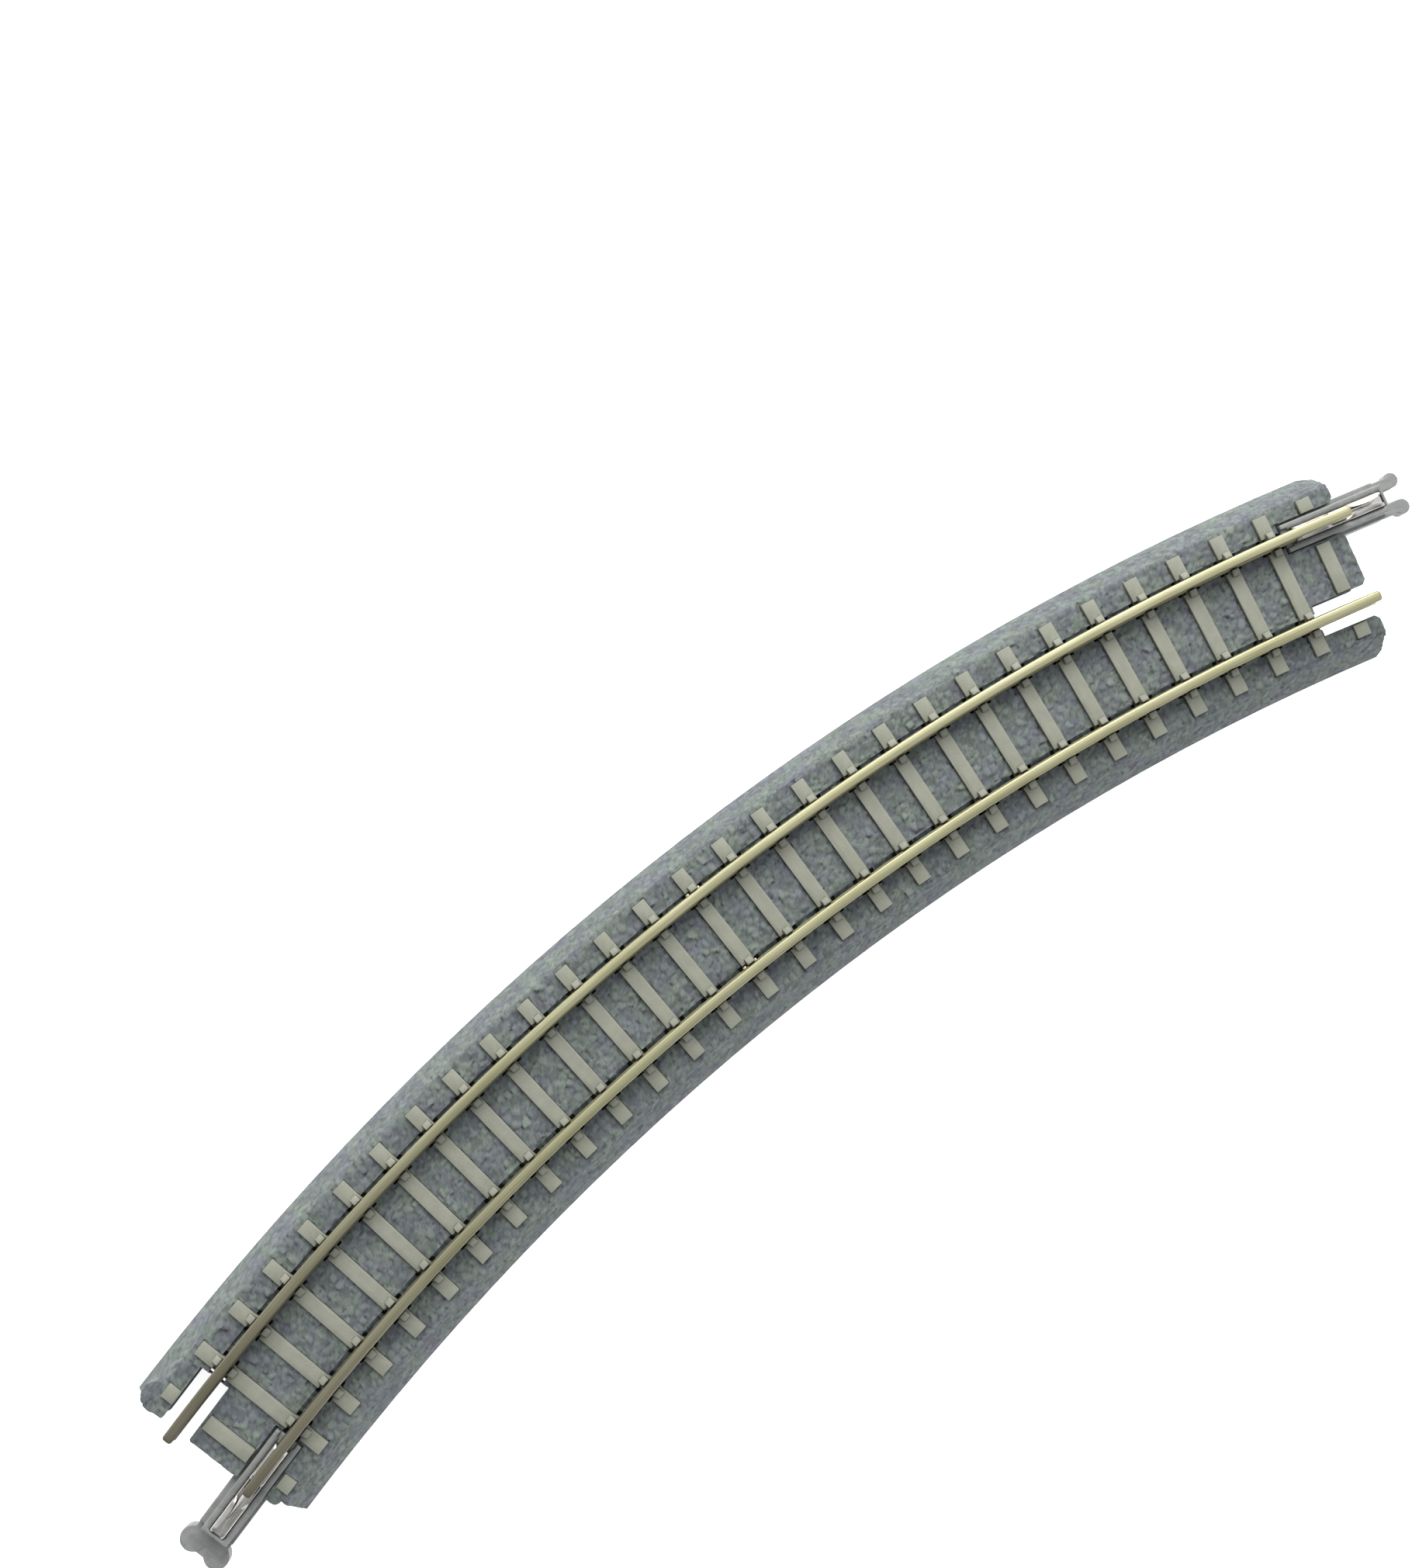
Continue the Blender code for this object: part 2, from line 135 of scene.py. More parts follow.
def rings_at(angle, along, across, height):
    """The two rings of a box square to the track at this angle."""
    tangent = Vector((math.cos(angle), -math.sin(angle), 0.0)) * MM
    rings = []
    for level in height:
        inner = on_curve(across[0], angle, level)
        outer = on_curve(across[1], angle, level)
        ring = [inner + tangent * along[0], inner + tangent * along[1]]
        rings.append(ring + [outer + tangent * along[1], outer + tangent * along[0]])
    return rings


def apply_modifiers(obj):
    graph = bpy.context.evaluated_depsgraph_get()
    mesh = bpy.data.meshes.new_from_object(obj.evaluated_get(graph))
    obj.modifiers.clear()
    old = obj.data
    obj.data = mesh
    mesh.name = obj.name
    bpy.data.meshes.remove(old)


def boolean(target, other, operation, solver="MANIFOLD"):
    """Cuts with, or adds, the other object, and removes it."""
    modifier = target.modifiers.new("cut", "BOOLEAN")
    modifier.solver = solver
    modifier.operation = operation
    modifier.object = other
    apply_modifiers(target)
    bpy.data.objects.remove(other)


def welded_copy(node, name):
    """A copy of a CAD node's mesh as a new object, with its split corners welded."""
    made = bpy.data.objects.new(name, NODES[node].data.copy())
    SCENE.collection.objects.link(made)
    shape = bmesh.new()
    shape.from_mesh(made.data)
    bmesh.ops.remove_doubles(shape, verts=shape.verts, dist=0.00005 * MM * 10)
    shape.to_mesh(made.data)
    shape.free()
    made.data.materials.clear()
    for attribute in [a for a in made.data.attributes if a.name.startswith("custom")]:
        made.data.attributes.remove(attribute)
    return made


def smooth(obj, degrees):
    obj.data.shade_smooth()
    obj.data.set_sharp_from_angle(angle=math.radians(degrees))


def finish_piece(obj, look, body, slot, *nodes):
    """Gives a piece its material and its body, and hides the CAD nodes that it stands for. Its slot is
    not used.
    """
    obj.data.materials.clear()
    obj.data.materials.append(look)
    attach(obj, body)
    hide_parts(*nodes)


# ---------------------------------------------------------------- materials


class Look:
    """A Principled material with helpers that add and link nodes."""

    def __init__(self, name, roughness, metallic=0.0, specular=0.5):
        self.material = bpy.data.materials.new(name)
        self.material.use_nodes = True
        self.tree = self.material.node_tree
        self.shader = self.tree.nodes["Principled BSDF"]
        self.shader.inputs["Roughness"].default_value = roughness
        self.shader.inputs["Metallic"].default_value = metallic
        self.shader.inputs["Specular IOR Level"].default_value = specular

    def node(self, kind, **settings):
        made = self.tree.nodes.new(kind)
        for key, value in settings.items():
            setattr(made, key, value)
        return made

    def link(self, source, target):
        self.tree.links.new(source, target)

    def math(self, operation, first, second=None, clamp=False):
        made = self.node("ShaderNodeMath", operation=operation, use_clamp=clamp)
        for place, value in ((0, first), (1, second)):
            if value is None:
                continue
            if isinstance(value, (int, float)):
                made.inputs[place].default_value = value
            else:
                self.link(value, made.inputs[place])
        return made.outputs[0]

    def place(self):
        """The point in millimetres, in the part's own frame."""
        spot = self.node("ShaderNodeTexCoord")
        scaled = self.node("ShaderNodeVectorMath", operation="SCALE")
        scaled.inputs["Scale"].default_value = 1000.0
        self.link(spot.outputs["Object"], scaled.inputs[0])
        return scaled.outputs[0]

    def along_track(self, stretch):
        """Millimetres along the track, across it and up. The length along it is divided by stretch."""
        parts = self.node("ShaderNodeSeparateXYZ")
        self.link(self.place(), parts.inputs[0])
        out = self.math("ADD", parts.outputs["Y"], RADIUS)
        angle = self.math("ARCTAN2", parts.outputs["X"], out)
        length = self.math("MULTIPLY", angle, RADIUS / stretch)
        squares = self.math("ADD", self.math("MULTIPLY", out, out),
                            self.math("MULTIPLY", parts.outputs["X"], parts.outputs["X"]))
        radius = self.math("SQRT", squares)
        joined = self.node("ShaderNodeCombineXYZ")
        self.link(length, joined.inputs["X"])
        self.link(radius, joined.inputs["Y"])
        self.link(parts.outputs["Z"], joined.inputs["Z"])
        return joined.outputs[0]

    def noise(self, scale, detail=3.0, rough=0.5, where=None, distortion=0.0):
        made = self.node("ShaderNodeTexNoise")
        made.inputs["Scale"].default_value = scale
        made.inputs["Detail"].default_value = detail
        made.inputs["Roughness"].default_value = rough
        made.inputs["Distortion"].default_value = distortion
        self.link(where or self.place(), made.inputs["Vector"])
        return made.outputs["Fac"]

    def spread(self, value, low, high, bottom=0.0, top=1.0):
        """The value's range low to high carried to bottom to top, and held there outside."""
        made = self.node("ShaderNodeMapRange")
        limits = {"From Min": low, "From Max": high, "To Min": bottom, "To Max": top}
        for name, number in limits.items():
            made.inputs[name].default_value = number
        self.link(value, made.inputs["Value"])
        return made.outputs["Result"]

    def mix(self, factor, first, second, blend="MIX"):
        made = self.node("ShaderNodeMix", data_type="RGBA", blend_type=blend)
        if isinstance(factor, (int, float)):
            made.inputs[0].default_value = factor
        else:
            self.link(factor, made.inputs[0])
        for place, value in ((6, first), (7, second)):
            if isinstance(value, tuple):
                made.inputs[place].default_value = (*value, 1.0)
            else:
                self.link(value, made.inputs[place])
        return made.outputs[2]

    def creases(self, distance):
        """1 in the open and towards 0 in corners and gaps narrower than this many millimetres. The
        looks paint shade into colour with it.
        """
        made = self.node("ShaderNodeAmbientOcclusion", samples=8)
        made.inputs["Distance"].default_value = distance * MM
        return made.outputs["AO"]

    def attribute(self, name):
        return self.node("ShaderNodeAttribute", attribute_name=name).outputs["Fac"]

    def color(self, value):
        self.link(value, self.shader.inputs["Base Color"])

    def roughness(self, value):
        self.link(value, self.shader.inputs["Roughness"])

    def bump(self, value, distance, strength=1.0):
        made = self.node("ShaderNodeBump")
        made.inputs["Strength"].default_value = strength
        made.inputs["Distance"].default_value = distance * MM
        self.link(value, made.inputs["Height"])
        self.link(made.outputs["Normal"], self.shader.inputs["Normal"])


def ballast_look():
    """Moulded grey stones: each has its own tone, and shade is painted into the grooves between them.
    """
    look = Look("ballast_stones", 0.7, specular=0.35)
    stone = look.attribute("stone")
    groove = look.attribute("groove")
    shade = look.mix(look.spread(stone, 0.0, 1.0), (0.088, 0.099, 0.103), (0.154, 0.174, 0.165))
    patches = look.noise(0.55, detail=2.0)
    tinted = look.mix(look.spread(patches, 0.38, 0.62), (0.92, 0.90, 1.03), (1.00, 1.07, 0.96))
    shade = look.mix(1.0, shade, tinted, "MULTIPLY")
    grain = look.noise(9.0, detail=4.0, rough=0.65)
    grains = look.mix(look.spread(grain, 0.3, 0.7), (0.84,) * 3, (1.16,) * 3)
    shade = look.mix(1.0, shade, grains, "MULTIPLY")
    # Painted shade: the grooves between stones are darkened towards a dark grey.
    shade = look.mix(look.spread(groove, 0.0, 1.0, 0.0, 0.75), shade, (0.052, 0.056, 0.064))
    look.color(shade)
    look.roughness(look.spread(grain, 0.3, 0.7, 0.58, 0.82))
    look.bump(grain, 0.03, 0.7)
    return look.material


def sleeper_look():
    """Matt warm grey plastic with a faint speckle, slightly dusty patches and painted shade in its
    corners.
    """
    look = Look("sleeper_plastic", 0.6, specular=0.4)
    speckle = look.noise(14.0, detail=3.0, rough=0.6)
    patches = look.noise(0.8, detail=3.0)
    shade = look.mix(look.spread(patches, 0.35, 0.65), (0.212, 0.220, 0.181), (0.243, 0.250, 0.207))
    dots = look.mix(look.spread(speckle, 0.3, 0.72), (0.90, 0.89, 0.88), (1.07, 1.07, 1.06))
    shade = look.mix(1.0, shade, dots, "MULTIPLY")
    # Painted shade: corners and creases are darkened towards dark brown.
    crease_shade = look.spread(look.creases(0.45), 0.35, 0.8)
    look.color(look.mix(crease_shade, (0.060, 0.056, 0.045), shade))
    look.roughness(look.spread(patches, 0.3, 0.7, 0.52, 0.7))
    look.bump(speckle, 0.012, 0.6)
    return look.material


# Painted shade: along this span, in millimetres along the track, the rails darken towards the -X end.
END_SHADE_SPAN = (-58.0, -22.0)


def rail_look():
    """Drawn nickel silver: fine lengthwise lines, small tarnished patches, painted shade towards the -X
    end and in its creases.
    """
    look = Look("rail_metal", 0.3, metallic=1.0)
    drawn = look.noise(5.0, detail=5.0, rough=0.7, where=look.along_track(40.0))
    patches = look.noise(0.35, detail=3.0, where=look.along_track(3.0))
    shade = look.mix(look.spread(patches, 0.35, 0.65), (0.305, 0.296, 0.182), (0.362, 0.353, 0.23))
    lines = look.mix(look.spread(drawn, 0.3, 0.7), (0.86, 0.85, 0.82), (1.08, 1.08, 1.08))
    shade = look.mix(1.0, shade, lines, "MULTIPLY")
    parts = look.node("ShaderNodeSeparateXYZ")
    look.link(look.along_track(1.0), parts.inputs[0])
    # Painted shade: the rail darkens with a cool tint towards the -X end.
    unshaded = look.spread(parts.outputs["X"], *END_SHADE_SPAN)
    end_shade = look.mix(unshaded, (0.55, 0.52, 0.62), (1.0, 1.0, 1.0))
    shade = look.mix(1.0, shade, end_shade, "MULTIPLY")
    # Painted shade: creases are darkened towards dark brown.
    crease_shade = look.spread(look.creases(0.5), 0.3, 0.85)
    look.color(look.mix(crease_shade, (0.12, 0.10, 0.06), shade))
    look.roughness(look.spread(drawn, 0.3, 0.7, 0.38, 0.5))
    look.bump(drawn, 0.01, 0.5)
    return look.material


def housing_look():
    """Smooth, slightly see-through grey plastic with fine flow marks."""
    look = Look("joiner_plastic", 0.4, specular=0.5)
    look.shader.inputs["Subsurface Weight"].default_value = 0.12
    look.shader.inputs["Subsurface Scale"].default_value = 0.6 * MM
    look.shader.inputs["Subsurface Radius"].default_value = (1.0, 1.0, 1.0)
    flow = look.noise(1.1, detail=4.0, distortion=0.6)
    grain = look.noise(11.0, detail=3.0)
    shade = look.mix(look.spread(flow, 0.35, 0.65), (0.165, 0.173, 0.170), (0.215, 0.224, 0.216))
    grains = look.mix(look.spread(grain, 0.3, 0.7), (0.94,) * 3, (1.05,) * 3)
    look.color(look.mix(1.0, shade, grains, "MULTIPLY"))
    look.roughness(look.spread(flow, 0.3, 0.7, 0.34, 0.5))
    look.bump(grain, 0.01, 0.4)
    return look.material


def clip_look():
    """Bright folded spring metal with faint scratches and painted shade in its creases."""
    look = Look("joiner_clip_metal", 0.2, metallic=1.0)
    scratches = look.noise(6.0, detail=4.0, rough=0.7, where=look.along_track(12.0))
    tarnish = look.noise(0.9, detail=3.0, where=look.along_track(2.0))
    shade = look.mix(look.spread(tarnish, 0.35, 0.65), (0.36, 0.34, 0.34), (0.58, 0.57, 0.53))
    lines = look.mix(look.spread(scratches, 0.3, 0.7), (0.88,) * 3, (1.08,) * 3)
    shade = look.mix(1.0, shade, lines, "MULTIPLY")
    # Painted shade: creases are darkened towards near black.
    crease_shade = look.spread(look.creases(0.4), 0.2, 0.75)
    look.color(look.mix(crease_shade, (0.06, 0.05, 0.055), shade))
    look.roughness(look.spread(scratches, 0.3, 0.7, 0.18, 0.34))
    look.bump(scratches, 0.008, 0.4)
    return look.material


# ---------------------------------------------------------------- ballast

GRID_STEP = 0.155
STONE_SIZE = 0.64
SMALL_STONE_SIZE = 0.4
SURFACE_HALF = 11.2
SHEET_PAST_END = 0.9
LOBE_AT = (-1.0, 6.35)
LOBE_REACH = 1.24
GROOVE_BESIDE_RAIL = 0.5
GROOVE_HALF = 0.13
PIT_UNDER_FOOT = 0.12
PIT_WIDTHS = ((1, 0.42), (-1, 0.3))
PIT_HEIGHTS = (2.47, 4.6)


def stone_field(u, v, size, seed):
    """The nearest two stone middles around each point: both distances, and the nearest one's values.

    The values are the point's place from that middle, the stone's tilt both ways and its shade.
    """
    table = np.random.default_rng(seed).random((512, 128, 5))
    cell_u = np.floor(u / size).astype(int)
    cell_v = np.floor(v / size).astype(int)
    best = np.full(u.shape, 1e9)
    second = np.full(u.shape, 1e9)
    found = np.zeros(u.shape + (5,))
    for step_u in (-2, -1, 0, 1, 2):
        for step_v in (-2, -1, 0, 1, 2):
            at_u = cell_u + step_u
            at_v = cell_v + step_v
            row = table[at_u % 512, at_v % 128]
            away_u = u - (at_u + 0.5 + 0.85 * (row[..., 0] - 0.5)) * size
            away_v = v - (at_v + 0.5 + 0.85 * (row[..., 1] - 0.5)) * size
            distance = np.hypot(away_u, away_v)
            nearer = distance < best
            second = np.where(nearer, best, np.minimum(second, distance))
            best = np.where(nearer, distance, best)
            here = np.stack([away_u, away_v, row[..., 2], row[..., 3], row[..., 4]], axis=-1)
            found = np.where(nearer[..., None], here, found)
    return best, second, found


def stone_relief(u, v):
    """Height of the moulded stones in millimetres, each stone's shade and how deep the groove is."""
    heights = []
    for size, seed in ((STONE_SIZE, RNG_SEED), (SMALL_STONE_SIZE, RNG_SEED + 1)):
        best, second, found = stone_field(u, v, size, seed)
        edge = np.clip((second - best) / (0.34 * size), 0.0, 1.0)
        tilt = (found[..., 2] - 0.5) * found[..., 0] + (found[..., 3] - 0.5) * found[..., 1]
        crown = edge * (2.0 - edge)
        height = 0.12 * crown + 0.55 * tilt + 0.12 * (found[..., 4] - 0.5)
        heights.append((height, found[..., 4], 1.0 - edge))
    (large, large_shade, large_groove), (small, small_shade, small_groove) = heights
    small = small - 0.035
    takes_small = small > large
    height = np.where(takes_small, small, large)
    shade = np.where(takes_small, small_shade, large_shade)
    groove = np.where(takes_small, small_groove, large_groove)
    return height - 0.06, shade, groove


def surface_point(v):
    """(offset, height) of the ballast's surface at distance v across it from the centreline."""
    slope = math.hypot(SLOPE_RUN, SLOPE_DROP)
    past = np.maximum(np.abs(v) - TOP_HALF, 0.0) / slope
    offset = np.sign(v) * (np.minimum(np.abs(v), TOP_HALF) + past * SLOPE_RUN)
    return offset, BALLAST_TOP - past * SLOPE_DROP


def across_of(offset):
    """The surface distance v of a point at this offset: the inverse of surface_point."""
    slope = math.hypot(SLOPE_RUN, SLOPE_DROP)
    past = np.maximum(np.abs(offset) - TOP_HALF, 0.0) / SLOPE_RUN
    return np.sign(offset) * (np.minimum(np.abs(offset), TOP_HALF) + past * slope)


def ballast_sheet():
    """A dense closed solid whose top is the stone surface. It reaches past the ends and the base."""
    reach = HALF_ARC + SHEET_PAST_END / RADIUS
    count_u = int(2 * reach * RADIUS / GRID_STEP) + 1
    count_v = int(2 * SURFACE_HALF / GRID_STEP) + 1
    u, v = np.meshgrid(
        np.linspace(-reach * RADIUS, reach * RADIUS, count_u),
        np.linspace(-SURFACE_HALF, SURFACE_HALF, count_v),
        indexing="ij",
    )
    soft = 0.22
    before, middle, after = surface_point(v - soft), surface_point(v), surface_point(v + soft)
    offset = (before[0] + 2 * middle[0] + after[0]) / 4
    height = (before[1] + 2 * middle[1] + after[1]) / 4
    along = np.hypot(after[0] - before[0], after[1] - before[1])
    normal = (-(after[1] - before[1]) / along, (after[0] - before[0]) / along)

    relief, _, _ = stone_relief(u, v)
    steep = np.clip((np.abs(v) - TOP_HALF) / 0.8, 0.0, 1.0)
    low_fade = np.clip((height - 0.5) / 0.8, 0.0, 1.0)
    relief = relief * (1.0 - 0.25 * steep) * low_fade - 0.02 * steep
    for rail in (-RAIL_OFFSET, RAIL_OFFSET):
        beside = np.abs(offset - rail - GROOVE_BESIDE_RAIL) / GROOVE_HALF
        relief = relief - 0.34 * np.clip(1.6 - beside, 0.0, 1.0)
    offset = offset + relief * normal[0]
    height = height + relief * normal[1]

    left_end = (u + HALF_ARC * RADIUS) * (RADIUS + offset) / RADIUS
    inside = np.hypot(left_end + LOBE_AT[0], offset - LOBE_AT[1]) < LOBE_REACH
    on_lobe = inside & (height < BALLAST_TOP - 0.1)
    height = np.where(on_lobe, BALLAST_TOP - 0.05 + 0.5 * relief, height)

    angle = u / RADIUS
    radius = (RADIUS + offset) * MM
    x, y = radius * np.sin(angle), radius * np.cos(angle) - RADIUS * MM
    points = np.stack([x, y, height * MM], axis=-1)
    points[:, 0, 2] = -1.0 * MM
    points[:, -1, 2] = -1.0 * MM

    index = np.arange(count_u * count_v).reshape(count_u, count_v)
    quads = np.stack([index[:-1, :-1], index[1:, :-1], index[1:, 1:], index[:-1, 1:]], axis=-1)
    under = np.stack([index[:-1, -1], index[1:, -1], index[1:, 0], index[:-1, 0]], axis=-1)
    faces = np.concatenate([quads.reshape(-1, 4), under]).tolist()
    faces.append(index[0, :].tolist())
    faces.append(index[-1, ::-1].tolist())
    return object_from("ballast_sheet", points.reshape(-1, 3), faces)


def rail_pits():
    """Small deep pits in the ballast beside each rail's foot, where the clips were moulded."""
    corners = []
    half = SLEEPER_WIDTH / 2
    for number in range(2, SLEEPER_COUNT):
        for rail in (-RAIL_OFFSET, RAIL_OFFSET):
            for direction, wide in PIT_WIDTHS:
                near = rail + direction * (FOOT_HALF - PIT_UNDER_FOOT)
                far = near + direction * wide
                across = (min(near, far), max(near, far))
                for along in ((half - 0.02, half + 0.42), (-half - 0.36, -half + 0.02)):
                    corners.append(rings_at(sleeper_angle(number), along, across, PIT_HEIGHTS))
    return boxes("pits", corners)


def build_roadbed(look):
    roadbed = welded_copy("roadbed", "roadbed_stones")
    for vertex in roadbed.data.vertices:
        if vertex.co.z > (BALLAST_TOP - 0.1) * MM:
            vertex.co.z += 0.5 * MM
    boolean(roadbed, ballast_sheet(), "INTERSECT")
    boolean(roadbed, rail_pits(), "DIFFERENCE")

    mesh = roadbed.data
    count = len(mesh.vertices)
    places = np.empty(count * 3)
    mesh.vertices.foreach_get("co", places)
    x, y, z = places.reshape(-1, 3).T / MM
    offset = np.hypot(x, y + RADIUS) - RADIUS
    u = np.arctan2(x, y + RADIUS) * RADIUS
    _, stone, groove = stone_relief(u, across_of(offset))
    _, level = surface_point(across_of(offset))
    below = level - z
    plain = below > 0.42
    stone = np.where(plain, 0.45, stone)
    on_slope = np.clip((np.abs(offset) - TOP_HALF) / 0.5, 0.0, 1.0)
    # The groove value masks painted shade: faces below the stones get a light even amount, and it is
    # weaker on the slopes.
    groove = np.where(plain, 0.25, groove * (1.0 - 0.35 * on_slope))
    for name, values in (("stone", stone), ("groove", groove)):
        mesh.attributes.new(name, "FLOAT", "POINT").data.foreach_set("value", values.astype(np.float32))
    smooth(roadbed, 42)
    finish_piece(roadbed, look, "track", "ballast", "roadbed")


# ---------------------------------------------------------------- sleepers


def bevelled(obj, width, segments=2, angle=30):
    modifier = obj.modifiers.new("bevel", "BEVEL")
    modifier.width = width * MM
    modifier.segments = segments
    modifier.limit_method = "ANGLE"
    modifier.angle_limit = math.radians(angle)
    apply_modifiers(obj)


def clip_bump(rail, direction):
    """A clip beside the rail's foot: a small rounded block, highest beside the rail."""
    near = rail + direction * (FOOT_HALF + 0.04)
    far = near + direction * 0.58
    heights = (
        (near, 4.34),
        (near + direction * 0.2, 4.32),
        (near + direction * 0.45, 4.17),
        (far, 4.02),
    )
    left, right = -0.16, 0.46
    rings = []
    for along in (left, right):
        ring = [on_curve(across, 0.0, height) for across, height in heights]
        ring += [on_curve(far, 0.0, 3.6), on_curve(near, 0.0, 3.6)]
        rings.append([point + Vector((along, 0.0, 0.0)) * MM for point in ring])
    made = object_from("bump", *loft(rings))
    bevelled(made, 0.07, 3)
    return made


def sleeper_shape():
    """A whole sleeper at angle 0, with clips at both rails and the moulding notches beside them."""
    half = SLEEPER_LENGTH / 2
    shape = boxes("sleeper", [rings_at(0.0, (-SLEEPER_WIDTH / 2, SLEEPER_WIDTH / 2), (-half, half),
                                       (SLEEPER_LOW, SLEEPER_TOP))])
    notches = []
    for rail in (-RAIL_OFFSET, RAIL_OFFSET):
        across = (rail + FOOT_HALF - 0.25, rail + FOOT_HALF + 0.24)
        notches.append(rings_at(0.0, (-1.0, -0.2), across, (3.3, 5.0)))
        across = (rail - FOOT_HALF - 0.16, rail - FOOT_HALF + 0.05)
        notches.append(rings_at(0.0, (-1.0, -0.34), across, (3.4, 5.0)))
    boolean(shape, boxes("notches", notches), "DIFFERENCE")
    bevelled(shape, 0.045, 2)
    for rail in (-RAIL_OFFSET, RAIL_OFFSET):
        for direction in (-1, 1):
            boolean(shape, clip_bump(rail, direction), "UNION")
    return shape


def build_sleepers(look):
    shape = sleeper_shape()
    smooth(shape, 35)
    for number in range(2, SLEEPER_COUNT):
        angle = sleeper_angle(number)
        made = bpy.data.objects.new(f"sleeper_{number:02d}_moulded", shape.data.copy())
        SCENE.collection.objects.link(made)
        turned = Matrix.Rotation(-angle, 4, "Z")
        made.data.transform(Matrix.Translation(on_curve(0.0, angle, 0.0)) @ turned)
        finish_piece(made, look, "track", "sleeper", f"sleeper_{number:02d}")
    bpy.data.objects.remove(shape)
    half = SLEEPER_LENGTH / 2
    spans = {"outer": (END_OUTER_FROM, half), "middle": (-END_MIDDLE_HALF, END_MIDDLE_HALF),
             "inner": (-half, -END_OUTER_FROM)}
    for number in (1, SLEEPER_COUNT):
        for place, span in spans.items():
            name = f"sleeper_{number:02d}_{place}"
            block = rings_at(sleeper_angle(number), (-SLEEPER_WIDTH / 2, SLEEPER_WIDTH / 2), span,
                             (SLEEPER_LOW, SLEEPER_TOP))
            made = boxes(name + "_moulded", [block])
            bevelled(made, 0.045, 2)
            smooth(made, 35)
            finish_piece(made, look, "track", "sleeper", name)


# ---------------------------------------------------------------- rails

OUTER_RAIL_PAST = (0.6, 0.75)
INNER_RAIL_PAST = (0.2, 0.1)


def rail_half():
    """Half of the rail's section as (across, height above its underside), from foot to head."""
    foot = [(0.43, 0.0), (0.46, 0.03), (0.46, 0.14), (0.43, 0.19), (0.36, 0.235), (0.27, 0.275)]
    web = [(0.21, 0.33), (0.18, 0.42), (0.18, 0.95), (0.21, 1.02)]
    head = [(0.31, 1.07), (0.38, 1.11), (0.405, 1.16), (0.41, 1.22), (0.41, 1.38)]
    points = foot + web + head
    for step in range(1, 6):
        turn = math.radians(90 * step / 5)
        points.append((0.25 + 0.16 * math.cos(turn), 1.38 + 0.16 * math.sin(turn)))
    points.append((0.1, 1.556))
    points.append((0.0, 1.56))
    return points


def build_rail(node, offset, past, look):
    half = rail_half()
    section = [(across, height) for across, height in half]
    section += [(-across, height) for across, height in reversed(half[:-1])]
    radius = RADIUS + offset
    first = -HALF_ARC - past[0] / radius
    last = HALF_ARC + past[1] / radius
    tip = 0.22 / radius
    stations = []
    for step in range(5):
        turn = math.radians(90 * step / 4)
        stations.append((first + tip * (1 - math.cos(turn)), 0.52 + 0.48 * math.sin(turn)))
    steps = 150
    for step in range(1, steps):
        stations.append((first + tip + (last - first - 2 * tip) * step / steps, 1.0))
    for step in range(5):
        turn = math.radians(90 * step / 4)
        stations.append((last - tip * (1 - math.sin(turn)), 0.52 + 0.48 * math.cos(turn)))
    rings = []
    for angle, scale in stations:
        ring = []
        for across, height in section:
            drop = (1 - scale) * 0.25
            level = 0.78 + (height - 0.78) * (1 - drop)
            ring.append(on_curve(offset + across * scale, angle, RAIL_LOW + level))
        rings.append(ring)
    rail = object_from(node + "_drawn", *loft(rings))
    for sign in (-1, 1):
        angle = sleeper_angle(15) + sign * 0.52 / radius
        across = (offset + FOOT_HALF - 0.2, offset + FOOT_HALF + 0.15)
        lug = boxes("lug", [rings_at(angle, (-0.15, 0.15), across, (RAIL_LOW + 0.03, RAIL_LOW + 0.28))])
        bevelled(lug, 0.04, 2)
        boolean(rail, lug, "UNION")
    smooth(rail, 40)
    finish_piece(rail, look, "track", "rail", node)


# ---------------------------------------------------------------- joiners


LEDGE_ALONG = (-4.2, 4.25)
LEDGE_EDGES = (0.66, 0.95)
LEDGE_HEIGHTS = (3.5, 3.92)
VOXEL = 0.055


def build_housing(node, side, rail, body, look):
    """The CAD housing with a ledge on each side of its clip, remeshed and its edges rounded."""
    made = welded_copy(node, node + "_moulded")
    start, stop = LEDGE_ALONG
    for direction in (-1, 1):
        near, far = sorted(rail + direction * edge for edge in LEDGE_EDGES)
        corners = ((start, near), (start, far), (stop, far), (stop, near))
        rings = [[past_end(side, along, across, height) for along, across in corners]
                 for height in LEDGE_HEIGHTS]
        boolean(made, object_from("ledge", *loft(rings)), "UNION")
    remesh = made.modifiers.new("remesh", "REMESH")
    remesh.mode = "VOXEL"
    remesh.voxel_size = VOXEL * MM
    apply_modifiers(made)
    soften = made.modifiers.new("soften", "SMOOTH")
    soften.factor = 0.5
    soften.iterations = 4
    apply_modifiers(made)
    made.data.shade_smooth()
    finish_piece(made, look, body, "housing", node)


CLIP_HALF = 0.63
CLIP_LOW = 3.72
CLIP_SHEET = 0.12


def clip_section(lip, fall, wall, thick):
    """The channel's middle line on one side as (across, height), from its base's middle to the lip.

    The lip falls outwards from its inner edge, so that its top is a long rounded shoulder.
    """
    half = CLIP_HALF - thick / 2
    low = CLIP_LOW + thick / 2
    top = low + wall
    points = [(0.0, low), (half - 0.14, low), (half - 0.04, low + 0.04), (half, low + 0.14)]
    points.append((half, top - fall - 0.06))
    points.append((half - 0.03, top - fall))
    points.append((half - 0.03 - lip * 0.35, top - fall * 0.45))
    points.append((half - 0.03 - lip * 0.7, top - fall * 0.12))
    points.append((half - 0.03 - lip, top))
    return points


